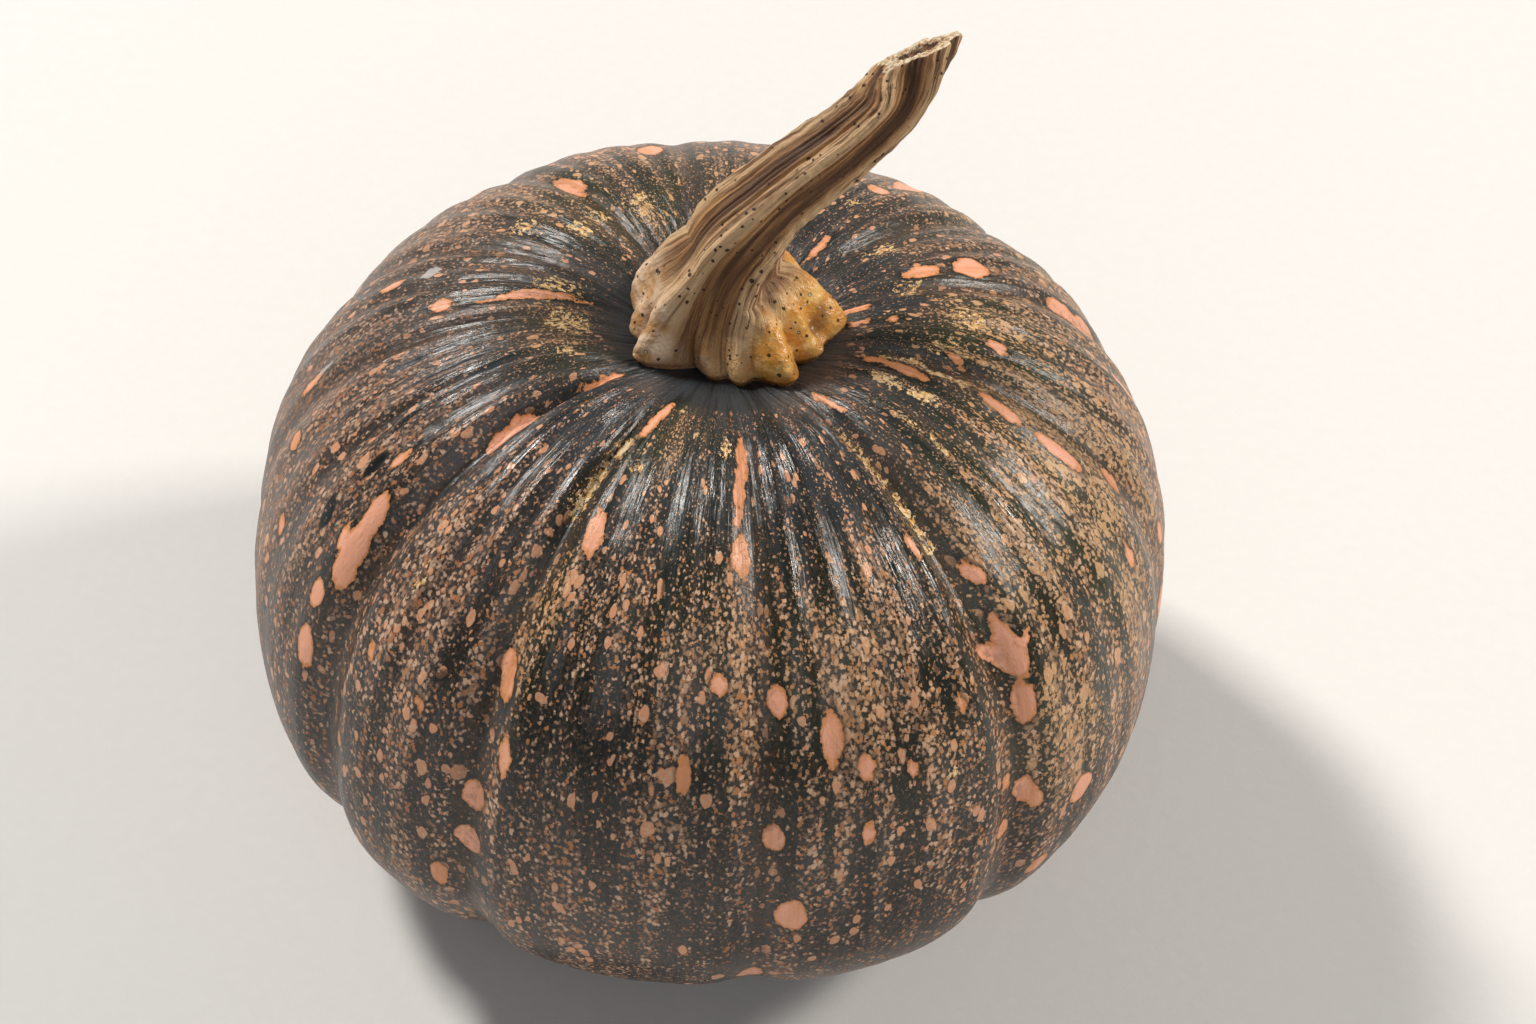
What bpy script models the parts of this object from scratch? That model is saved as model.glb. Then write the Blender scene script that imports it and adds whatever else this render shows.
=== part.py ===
# A ribbed squash with its cut stem, resting on its underside.
# Metres, +Z up. The origin is on the surface that the fruit rests on, below its middle, and -Y is its front.
# Angles round the fruit are degrees from the front (-Y), growing towards +X.
import math

import bmesh
import bpy
from mathutils import Vector, geometry, noise

# Overall size of the fruit
BODY_RADIUS = 0.1094
OVAL, OVAL_ANGLE = 0.006, 65
EQUATOR_HEIGHT = 0.069
SHOULDER_RISE = 0.0892
SHOULDER_FULLNESS = 2.53
UNDERSIDE_FULLNESS = 2.25

# The basin that the stem stands in, and the dimple of the blossom end
BASIN_DEPTH = 0.0132
BASIN_RADIUS = 0.030
DIMPLE_DEPTH = 0.008
DIMPLE_RADIUS = 0.016
REST_CUT = 0.0027

# Twelve furrows follow the veins of the fruit, deepest at the front: (angle, depth)
FURROWS = (
    (-168, 0.0004),
    (-140, 0.0006),
    (-112, 0.0009),
    (-86, 0.0009),
    (-52, 0.0038),
    (-27, 0.0029),
    (10, 0.0018),
    (43, 0.0035),
    (82, 0.0011),
    (112, 0.0009),
    (136, 0.0014),
    (164, 0.0006),
)
FURROW_HALF_WIDTH = 3.6
LOBE_SWELL, LOBE_FULLNESS = 0.0008, 0.8
FINE_RIBS_PER_LOBE = 4
FINE_RIB_HEIGHT = 0.0010
FINE_RIBS_AT_BACK = 0.4
RIBS_BEGIN, RIBS_FULL = 0.022, 0.046
FINE_RIBS_FADE, FINE_RIBS_END = 0.090, 0.190
RIBS_FADE, RIBS_END = 0.215, 0.290
UNEVENNESS = 0.0012
UNEVEN_SCALE = 0.070

# The stem: its middle line, its girth and its ridges
SEAT_CENTRE = (0.0020, 0.0030)
SEAT_GAP = 0.0004
STEM_HANDLE_LOW = (-0.0125, 0.002, 0.0475)
STEM_HANDLE_HIGH = (0.0265, 0.009, 0.0415)
STEM_END = (0.036, 0.024, 0.069)
STEM_GIRTH = ((0.0, 0.0130), (0.24, 0.0104), (0.5, 0.0081), (0.8, 0.0070), (1.0, 0.0067))
RIDGES = 5
RIDGE_HEIGHT, RIDGE_SHARPNESS, CHANNEL_SHARE = 0.0020, 1.6, 0.35
RIDGE_START = -57
RIDGE_TURN, RIDGE_TURN_DONE = 40, 0.45
RIDGE_BACK_TURN, RIDGE_BACK_FROM = 30, 0.82
CUT_TILT = (0.95, -0.12)
CUT_TILT_REACH = 0.024

# The cut end, from its sunken pith to its rim: (depth, share of the girth)
CUT_RINGS = ((0.0016, 0.0), (0.0015, 0.24), (0.0012, 0.42), (0.0006, 0.56), (0.0001, 0.70), (0.0, 0.90))

# Swellings of the stem's foot: (angle, reach, half width, height, fullness)
TOES = (
    (-101, 0.0122, 26, 0.026, 0.65),
    (-77, 0.0118, 15, 0.023, 0.80),
    (-55, 0.0130, 14, 0.024, 0.95),
    (-17, 0.0050, 16, 0.012, 0.50),
    (12, 0.0052, 14, 0.012, 0.50),
    (40, 0.0130, 16, 0.018, 0.45),
    (66, 0.0106, 14, 0.020, 0.45),
    (92, 0.0125, 25, 0.021, 0.42),
    (130, 0.0105, 19, 0.023, 0.50),
    (171, 0.0095, 21, 0.017, 0.65),
    (-143, 0.0105, 20, 0.021, 0.75),
)
FOOT_TOP = 0.30
FOOT_ROUNDING, FOOT_TUCK = 0.0024, 0.10

FRUIT_SEGMENTS, FRUIT_RINGS = 160, 34
STEM_SEGMENTS, SEAT_RINGS, FOOT_RINGS, SHAFT_RINGS = 64, 4, 8, 14
RING_CROWDING, FOOT_CROWDING = 0.45, 1.5
OUTLINE_STEPS, LINE_STEPS = 1600, 160


def eased(value, low, high):
    """0 below low, 1 above high and a smooth rise between them."""
    share = min(max((value - low) / (high - low), 0.0), 1.0)
    return share * share * (3 - 2 * share)


def turned_by(angle, from_angle):
    """The shorter way round from one angle to another, -180 to 180."""
    return (angle - from_angle + 180) % 360 - 180


def clear_scene():
    """Remove what the scene holds."""
    for obj in list(bpy.data.objects):
        bpy.data.objects.remove(obj, do_unlink=True)


def plain_outline():
    """The fruit's outline without ribs, top to bottom: (distance from the stem's seat, radius, height)."""
    points = []
    distance = 0.0
    for step in range(OUTLINE_STEPS + 1):
        angle = math.pi / 2 - math.pi * step / OUTLINE_STEPS
        out, up = abs(math.cos(angle)), math.sin(angle)
        upper = up >= 0
        power = SHOULDER_FULLNESS if upper else UNDERSIDE_FULLNESS
        swell = (out**power + abs(up) ** power) ** (-1 / power)
        radius = BODY_RADIUS * out * swell
        height = EQUATOR_HEIGHT + (SHOULDER_RISE if upper else EQUATOR_HEIGHT) * up * swell
        if upper:
            height -= BASIN_DEPTH * math.exp(-((radius / BASIN_RADIUS) ** 2))
        else:
            height += DIMPLE_DEPTH * math.exp(-((radius / DIMPLE_RADIUS) ** 2))
        if points:
            distance += math.dist((radius, height), points[-1][1:])
        points.append((distance, radius, height))
    return points


OUTLINE = plain_outline()
OUTLINE_LENGTH = OUTLINE[-1][0]


def outline_at(distance):
    """(radius, height, outward direction) of the plain outline at a distance from the seat."""
    low, high = 0, len(OUTLINE) - 1
    while high - low > 1:
        middle = (low + high) // 2
        if OUTLINE[middle][0] > distance:
            high = middle
        else:
            low = middle
    (d0, r0, z0), (d1, r1, z1) = OUTLINE[low], OUTLINE[high]
    share = (distance - d0) / (d1 - d0)
    slope = math.hypot(r1 - r0, z1 - z0)
    outward = ((z0 - z1) / slope, (r1 - r0) / slope)
    return r0 + (r1 - r0) * share, z0 + (z1 - z0) * share, outward


def lobe_at(angle):
    """(share of the way across the lobe, depth of the furrow nearest to this angle, turn to that furrow)."""
    nearest = min(FURROWS, key=lambda furrow: abs(turned_by(angle, furrow[0])))
    before = max((f[0] for f in FURROWS if f[0] <= angle), default=FURROWS[-1][0] - 360)
    after = min((f[0] for f in FURROWS if f[0] > angle), default=FURROWS[0][0] + 360)
    return (angle - before) / (after - before), nearest[1], turned_by(angle, nearest[0])


def relief(angle, distance, radius, height):
    """How far the skin stands out from the plain outline."""
    angle = turned_by(angle, 0)
    across, depth, turn = lobe_at(angle)
    strength = eased(distance, RIBS_BEGIN, RIBS_FULL) * (1 - eased(distance, RIBS_FADE, RIBS_END))
    fine = strength * (1 - eased(distance, FINE_RIBS_FADE, FINE_RIBS_END))
    swell = LOBE_SWELL * math.sin(math.pi * across) ** LOBE_FULLNESS
    furrow = depth * math.exp(-((turn / FURROW_HALF_WIDTH) ** 2))
    turn_round = math.radians(angle)
    frontward = 0.5 + 0.5 * math.cos(turn_round)
    rib_height = FINE_RIB_HEIGHT * (FINE_RIBS_AT_BACK + (1 - FINE_RIBS_AT_BACK) * frontward)
    fine_rib = rib_height * (0.5 - 0.5 * math.cos(2 * math.pi * FINE_RIBS_PER_LOBE * across))
    spot = Vector((radius * math.sin(turn_round), -radius * math.cos(turn_round), height))
    uneven = UNEVENNESS * noise.noise(spot / UNEVEN_SCALE)
    return strength * (swell - furrow + uneven) + fine * fine_rib


def skin(angle, distance):
    """(radius, height) of the ribbed skin, on a body that is slightly oval from above."""
    radius, height, outward = outline_at(distance)
    radius *= 1 + OVAL * math.cos(2 * math.radians(angle - OVAL_ANGLE))
    rise = relief(angle, distance, radius, height)
    radius += rise * outward[0]
    height += rise * outward[1]
    return max(radius, 0.0), max(height, REST_CUT) - REST_CUT


def skin_point(angle, distance):
    """Where the skin is in space."""
    radius, height = skin(angle, distance)
    turn = math.radians(angle)
    return Vector((radius * math.sin(turn), -radius * math.cos(turn), height))


def skin_height(x, y):
    """Height of the skin round the seat, below a point seen from above."""
    radius = math.hypot(x, y)
    angle = math.degrees(math.atan2(x, -y))
    low, high = 0.0, 0.080
    for _ in range(30):
        middle = (low + high) / 2
        if skin(angle, middle)[0] < radius:
            low = middle
        else:
            high = middle
    return skin(angle, high)[1]


def wrapped_sphere(name, segments, rings, place):
    """A UV sphere whose vertices are moved by place(degrees round, ring counted from the top)."""
    mesh = bpy.data.meshes.new(name)
    work = bmesh.new()
    bmesh.ops.create_uvsphere(work, u_segments=segments, v_segments=rings, radius=1.0)
    for vertex in work.verts:
        x, y, z = vertex.co
        ring = round(math.acos(max(-1.0, min(1.0, z))) / math.pi * rings)
        vertex.co = place(math.degrees(math.atan2(x, -y)), ring)
    bmesh.ops.recalc_face_normals(work, faces=work.faces)
    work.to_mesh(mesh)
    work.free()
    mesh.shade_smooth()
    return bpy.data.objects.new(name, mesh)


def fruit():
    """The whole body: rings lie closer together at both ends, where the outline bends most."""

    def place(angle, ring):
        share = ring / FRUIT_RINGS
        crowded = share - RING_CROWDING * math.sin(2 * math.pi * share) / (2 * math.pi)
        return skin_point(angle, OUTLINE_LENGTH * crowded)

    return wrapped_sphere("fruit", FRUIT_SEGMENTS, FRUIT_RINGS, place)


def girth_at(share):
    """The stem's girth without ridges, by the share of the way up."""
    for (low, thin), (high, thick) in zip(STEM_GIRTH, STEM_GIRTH[1:]):
        if share <= high:
            return thin + (thick - thin) * eased(share, low, high)
    return STEM_GIRTH[-1][1]


def stem_line():
    """Points along the stem's middle and the frame of each: (point, along, right, away)."""
    seat = Vector((*SEAT_CENTRE, skin_height(*SEAT_CENTRE)))
    knots = [seat + Vector(step) for step in ((0, 0, 0), STEM_HANDLE_LOW, STEM_HANDLE_HIGH, STEM_END)]
    points = geometry.interpolate_bezier(*knots, LINE_STEPS)
    frames = []
    right = Vector((1, 0, 0))
    for index, point in enumerate(points):
        along = (points[min(index + 1, LINE_STEPS - 1)] - points[max(index - 1, 0)]).normalized()
        right = (right - right.dot(along) * along).normalized()
        frames.append((point, along, right, along.cross(right)))
    return frames


def ridged(girth, angle, share):
    """Girth with the five ridges and the channels between them, which wind about the stem."""
    turned = RIDGE_TURN * eased(share, 0, RIDGE_TURN_DONE)
    turned -= RIDGE_BACK_TURN * eased(share, RIDGE_BACK_FROM, 1)
    phase = math.radians(RIDGES * (angle - RIDGE_START - turned))
    crest = (0.5 + 0.5 * math.cos(phase)) ** RIDGE_SHARPNESS
    return girth + RIDGE_HEIGHT * (crest - CHANNEL_SHARE)


def foot_reach(angle, rise):
    """How far the foot's swellings stand out beyond the stalk, at a height above the skin."""
    reach = 0.0
    for toe_angle, toe_reach, half_width, height, fullness in TOES:
        if rise < height:
            round_it = math.exp(-((turned_by(angle, toe_angle) / half_width) ** 2))
            reach = max(reach, toe_reach * round_it * (1 - rise / height) ** fullness)
    return reach


def stem():
    """The stalk: its cut end, its ridged side, its foot, and an underside that follows the skin below."""
    line = stem_line()
    length = sum((b[0] - a[0]).length for a, b in zip(line, line[1:]))
    side_rings = SHAFT_RINGS + FOOT_RINGS

    def share_at(step):
        """Share of the way up the stem, for the rings of its side counted down from the cut."""
        if step < SHAFT_RINGS:
            return 1 - (1 - FOOT_TOP) * step / SHAFT_RINGS
        return FOOT_TOP * (1 - (step - SHAFT_RINGS) / FOOT_RINGS) ** FOOT_CROWDING

    def shaft_point(angle, share, part=1.0, sunk=0.0):
        middle, along, right, away = line[round(share * (len(line) - 1))]
        turn = math.radians(angle)
        girth = ridged(girth_at(share), angle, share) * part
        rightward, backward = math.sin(turn) * girth, -math.cos(turn) * girth
        tilt = eased(share * length, length - CUT_TILT_REACH, length)
        lean = (CUT_TILT[0] * rightward + CUT_TILT[1] * backward) * tilt
        return middle + right * rightward + away * backward + along * (lean - sunk)

    def side_point(angle, share):
        point = shaft_point(angle, share)
        middle = line[round(share * (len(line) - 1))][0]
        rise = middle.z - line[0][0].z
        outward = Vector((point.x - middle.x, point.y - middle.y))
        tuck = 1 - FOOT_TUCK * (1 - eased(rise, 0, FOOT_ROUNDING))
        wide = outward + outward.normalized() * foot_reach(angle, rise)
        x, y = middle.x + wide.x * tuck, middle.y + wide.y * tuck
        lying = skin_height(x, y) + SEAT_GAP
        held = 1 - eased(share, 0, FOOT_TOP)
        return Vector((x, y, max(point.z + (lying + rise - point.z) * held, lying)))

    def place(angle, ring):
        step = ring - len(CUT_RINGS)
        if step < 0:
            sunk, part = CUT_RINGS[ring]
            return shaft_point(angle, 1, part, sunk)
        if step <= side_rings:
            return side_point(angle, share_at(step))
        inward = (step - side_rings) / SEAT_RINGS
        rim = side_point(angle, 0)
        x = rim.x + (SEAT_CENTRE[0] - rim.x) * inward
        y = rim.y + (SEAT_CENTRE[1] - rim.y) * inward
        return Vector((x, y, skin_height(x, y) + SEAT_GAP))

    return wrapped_sphere("stem", STEM_SEGMENTS, len(CUT_RINGS) + side_rings + SEAT_RINGS, place)


def finish_material(name, colour, roughness):
    """A plain material in a piece's main colour."""
    material = bpy.data.materials.new(name)
    material.use_nodes = True
    shader = material.node_tree.nodes["Principled BSDF"]
    shader.inputs["Base Color"].default_value = (*colour, 1)
    shader.inputs["Roughness"].default_value = roughness
    shader.inputs["Metallic"].default_value = 0.0
    return material


def main():
    """Build both pieces in one collection."""
    clear_scene()
    squash = bpy.data.collections.new("squash")
    bpy.context.scene.collection.children.link(squash)
    pieces = (
        (fruit(), finish_material("rind", (0.075, 0.070, 0.045), 0.42)),
        (stem(), finish_material("stem_wood", (0.36, 0.24, 0.12), 0.75)),
    )
    for piece, material in pieces:
        piece.data.materials.append(material)
        squash.objects.link(piece)


main()
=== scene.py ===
import math
import random

import bmesh
import bpy
import numpy as np
from mathutils import Matrix, Vector, geometry, noise


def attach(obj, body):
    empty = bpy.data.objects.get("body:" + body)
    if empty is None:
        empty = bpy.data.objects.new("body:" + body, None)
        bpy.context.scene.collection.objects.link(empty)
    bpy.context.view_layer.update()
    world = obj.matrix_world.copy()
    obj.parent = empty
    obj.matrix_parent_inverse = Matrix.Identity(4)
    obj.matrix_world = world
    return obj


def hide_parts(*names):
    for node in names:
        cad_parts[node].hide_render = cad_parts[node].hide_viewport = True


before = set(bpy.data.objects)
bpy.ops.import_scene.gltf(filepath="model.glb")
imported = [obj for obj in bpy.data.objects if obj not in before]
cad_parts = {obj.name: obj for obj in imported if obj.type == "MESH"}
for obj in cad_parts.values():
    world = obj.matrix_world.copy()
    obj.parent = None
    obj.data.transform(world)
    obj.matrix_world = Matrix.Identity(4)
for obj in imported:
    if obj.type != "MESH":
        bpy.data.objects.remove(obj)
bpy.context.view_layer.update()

print("frame loaded")

# Angles round the squash are degrees from the front (-Y), growing towards +X.
# Distances on the skin run from the stem's seat, over the shoulder, to the blossom end.


# small helpers for shapes

def placed(name, data):
    thing = bpy.data.objects.new(name, data)
    bpy.context.scene.collection.objects.link(thing)
    return thing


def eased(value, low, high):
    share = np.clip((value - low) / (high - low), 0, 1)
    return share * share * (3 - 2 * share)


def turnedBy(angle, fromAngle):
    return (angle - fromAngle + 180) % 360 - 180


def roughness3d(places, size, octaves=2):  # smooth noise, -1 to 1, for many places at once
    return np.array([noise.fractal(Vector(place) / size, 1.0, 2.0, octaves) for place in places])


def wrappedSphere(name, segments, rings, place):
    # a UV sphere whose points go where place(angles, ring numbers from the top) says
    mesh = bpy.data.meshes.new(name)
    work = bmesh.new()
    bmesh.ops.create_uvsphere(work, u_segments=segments, v_segments=rings, radius=1)
    work.to_mesh(mesh)
    work.free()
    ball = np.zeros(len(mesh.vertices) * 3, np.float32)
    mesh.vertices.foreach_get("co", ball)
    ball = ball.reshape(-1, 3).astype(float)
    angles = np.degrees(np.arctan2(ball[:, 0], -ball[:, 1]))
    ring = np.rint(np.arccos(np.clip(ball[:, 2], -1, 1)) / math.pi * rings)
    places, fields = place(angles, ring)
    mesh.vertices.foreach_set("co", places.astype(np.float32).ravel())
    for field, values in fields.items():
        kind, key = ("FLOAT_VECTOR", "vector") if values.ndim == 2 else ("FLOAT", "value")
        layer = mesh.attributes.new(field, kind, "POINT")
        layer.data.foreach_set(key, values.astype(np.float32).ravel())
    mesh.shade_smooth()
    mesh.update()
    return placed(name, mesh)


# small helpers for materials

class Recipe:  # one material's nodes, added and wired by short calls
    def __init__(self, name):
        self.material = bpy.data.materials.new(name)
        self.material.use_nodes = True
        self.tree = self.material.node_tree
        self.shader = self.tree.nodes["Principled BSDF"]

    def fill(self, node, ins):  # sockets are wired, other values set
        for key, value in ins.items():
            if isinstance(value, bpy.types.NodeSocket):
                self.tree.links.new(value, node.inputs[key])
            else:
                node.inputs[key].default_value = value

    def add(self, kind, ins, out=0, **settings):
        node = self.tree.nodes.new("ShaderNode" + kind)
        for key, value in settings.items():
            setattr(node, key, value)
        self.fill(node, ins)
        return node.outputs[out]

    def field(self, name, out="Fac"):  # a value kept on the mesh's points
        return self.add("Attribute", {}, out, attribute_name=name)

    def chain(self, operation, values):  # the first value with each of the next ones in turn
        total = values[0]
        for value in values[1:]:
            total = self.add("Math", {0: total, 1: value}, operation=operation)
        return total

    def sum(self, *values):
        return self.chain("ADD", values)

    def less(self, *values):
        return self.chain("SUBTRACT", values)

    def times(self, *values):
        return self.chain("MULTIPLY", values)

    def most(self, *values):
        return self.chain("MAXIMUM", values)

    def swing(self, value, amount):  # a noise as a change both ways
        return self.times(self.less(value, 0.5), amount)

    def rest(self, value):  # one minus the value
        return self.less(1.0, value)

    def step(self, value, low, high, small=0.0, large=1.0):  # smooth step, also downwards
        ins = {"Value": value, "From Min": low, "From Max": high, "To Min": small, "To Max": large}
        return self.add("MapRange", ins, interpolation_type="SMOOTHSTEP")

    def mix(self, share, a, b):
        colours = {6: a, 7: b}
        for key, value in colours.items():
            if isinstance(value, tuple) and len(value) == 3:
                colours[key] = (*value, 1)
        return self.add("Mix", {0: share, **colours}, 2, data_type="RGBA")

    def squashed(self, vector, share):  # patterns read here are longer along the height or the meridians
        return self.add("VectorMath", {0: vector, 1: (1, 1, share)}, operation="MULTIPLY")

    def noise(self, vector, size, detail=2.0, roughness=0.5, out="Fac"):  # size in metres
        ins = {"Vector": vector, "Scale": 1 / size, "Detail": detail, "Roughness": roughness}
        return self.add("TexNoise", ins, out)

    def cells(self, vector, size):  # distance from the nearest seed, and two random values of its cell
        ins = {"Vector": vector, "Scale": 1 / size, "Randomness": 1.0}
        distance = self.add("TexVoronoi", ins)
        pick = self.add("SeparateColor", {0: distance.node.outputs["Color"]})
        return distance, pick, pick.node.outputs[1]

    def shaken(self, vector, size, amount):  # moves the places that a pattern is read at
        spread = self.noise(vector, size, 2.0, 0.5, "Color")
        centred = self.add("VectorMath", {0: spread, 1: (0.5, 0.5, 0.5)}, operation="SUBTRACT")
        shift = self.add("VectorMath", {0: centred, "Scale": amount}, operation="SCALE")
        return self.add("VectorMath", {0: vector, 1: shift}, operation="ADD")

    def bump(self, height, distance, strength=1.0):
        return self.add("Bump", {"Height": height, "Distance": distance, "Strength": strength})

    def finish(self, colour, roughness, relief, specular=0.5):
        ins = {"Base Color": colour, "Roughness": roughness, "Normal": relief}
        self.fill(self.shader, {**ins, "Specular IOR Level": specular})
        return self.material


# the fruit's shape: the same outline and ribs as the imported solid, on a much finer sphere

fruitShape = {
    "bodyRadius": 0.1094,
    "oval": (0.006, 65),  # how much longer than round, and towards which angle
    "equatorHeight": 0.069,
    "shoulderRise": 0.0892,
    "shoulderFullness": 2.53,
    "undersideFullness": 2.25,
    "basin": (0.0132, 0.03),  # depth and radius
    "dimple": (0.008, 0.016),
    "restCut": 0.0027,
    "furrows": ((-168, 0.0004), (-140, 0.0006), (-112, 0.0009), (-86, 0.0009), (-52, 0.0038), (-27, 0.0029),
                (10, 0.0018), (43, 0.0035), (82, 0.0011), (112, 0.0009), (136, 0.0014), (164, 0.0006)),
    "furrowHalfWidth": 3.6,
    "lobeSwell": 0.0008,
    "lobeFullness": 0.8,
    "fineRibsPerLobe": 4,
    "fineRibHeight": 0.001,
    "fineRibsAtBack": 0.4,
    "ribsBegin": (0.022, 0.046),
    "fineRibsEnd": (0.09, 0.19),
    "ribsEnd": (0.215, 0.29),
    "uneven": (0.0012, 0.07),  # height and size
    "outlineSteps": 1600,
    "ringCrowding": 0.45,  # rings lie closer together at both ends
    "segments": 400,
    "rings": 236,
    "patternPull": (0.018, 0.6),  # narrowest radius that tightens the rind's pattern, and how strongly
    "drift": (0.03, 0.35),  # slow wandering of all ribs: its size, and its squash along the height
    "wander": 0.03,  # how far the fine ribs wander sideways, in shares of a lobe
    "ribLevel": (0.45, 0.022, 0.5),  # change of the fine ribs' height, its size and its squash
    "wrinkles": (0.00022, 3.1, 2.5),  # round the seat: height, pitch and sway in degrees
    "wrinklesBegin": (0.016, 0.026),
    "wrinklesEnd": (0.04, 0.075),
    "pits": (0.00018, 0.006, 0.6),  # depth, size, and squash along the height
    "pitsBelow": 0.95,  # keeps the pitted skin inside the plain one
    "ribEnds": (10, 8, 8, 14),  # how softly a sharp rib begins and ends, millimetres
    "ribSway": 0.5,  # degrees
    "ribHollow": (0.45, 2.2),  # hollows beside a sharp rib: depth and width, in shares of the rib's
    "glossWidth": 1.3,  # of the glossy run along a sharp rib, in shares of its half width
    # sharp ribs on the shoulder: angle, from, to and height in millimetres, half width in degrees
    "sharpRibs": (
        (-83, 46, 84, 1.01, 1.7), (-77, 44, 88, 1.08, 1.5), (-71, 46, 84, 1.22, 1.6),
        (-65.5, 40, 80, 1.15, 1.5), (-58, 44, 84, 0.88, 1.6), (-42, 32, 90, 0.81, 1.8),
        (-35, 34, 84, 0.81, 1.6), (-29.5, 42, 74, 0.88, 1.3), (-14, 34, 80, 0.45, 1.7),
        (1, 36, 84, 0.5, 1.6), (15.5, 36, 88, 0.88, 1.5), (21, 36, 90, 0.88, 1.5),
        (27.5, 38, 86, 1.01, 1.6), (34, 40, 82, 0.94, 1.5), (39.5, 44, 84, 1.08, 1.3),
        (51, 34, 74, 0.88, 1.7), (58, 36, 84, 0.94, 1.6), (70, 34, 70, 0.88, 1.7),
        (86, 34, 74, 0.54, 2.0), (102, 36, 70, 0.47, 2.0), (-97, 38, 80, 0.54, 1.8),
        (-109, 38, 76, 0.54, 1.9), (-124, 38, 74, 0.54, 1.9), (150, 40, 72, 0.41, 2.2),
    ),
}


def plainOutline():
    shape = fruitShape
    angle = np.linspace(math.pi / 2, -math.pi / 2, shape["outlineSteps"] + 1)
    out, up = np.abs(np.cos(angle)), np.sin(angle)
    upper = up >= 0
    power = np.where(upper, shape["shoulderFullness"], shape["undersideFullness"])
    swell = (out**power + np.abs(up)**power) ** (-1 / power)
    radius = shape["bodyRadius"] * out * swell
    rise = np.where(upper, shape["shoulderRise"], shape["equatorHeight"])
    height = shape["equatorHeight"] + rise * up * swell
    height -= upper * shape["basin"][0] * np.exp(-(radius / shape["basin"][1]) ** 2)
    height += ~upper * shape["dimple"][0] * np.exp(-(radius / shape["dimple"][1]) ** 2)
    distance = np.concatenate(([0], np.cumsum(np.hypot(np.diff(radius), np.diff(height)))))
    return distance, radius, height


outlineDown, outlineRadius, outlineHeight = plainOutline()
outlineLength = outlineDown[-1]

# the rind's pattern runs down faster where the squash is narrow, so that flecks stay short there
narrowest, pull = fruitShape["patternPull"]
narrowing = (fruitShape["bodyRadius"] / np.maximum(outlineRadius, narrowest)) ** pull
patternDown = np.concatenate(([0], np.cumsum(np.diff(outlineDown) * narrowing[1:])))


def outlineAt(distance):
    # radius and height of the plain outline, and which way is outward there
    step = 0.0002
    radius = np.interp(distance, outlineDown, outlineRadius)
    height = np.interp(distance, outlineDown, outlineHeight)
    low, high = np.maximum(distance - step, 0), np.minimum(distance + step, outlineLength)
    across = np.interp(high, outlineDown, outlineRadius) - np.interp(low, outlineDown, outlineRadius)
    down = np.interp(low, outlineDown, outlineHeight) - np.interp(high, outlineDown, outlineHeight)
    slope = np.hypot(across, down)
    return radius, height, down / slope, across / slope


def lobeAt(angle):
    # share of the way across the lobe, depth of the nearest furrow, and degrees away from it
    places, depths = np.array(fruitShape["furrows"]).T
    turns = turnedBy(angle[:, None], places[None, :])
    nearest = np.argmin(np.abs(turns), axis=1)
    ends = np.concatenate((places[-1:] - 360, places, places[:1] + 360))
    index = np.clip(np.searchsorted(ends, angle, side="right"), 1, len(ends) - 1)
    across = (angle - ends[index - 1]) / (ends[index] - ends[index - 1])
    return across, depths[nearest], turns[np.arange(len(angle)), nearest]


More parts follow.
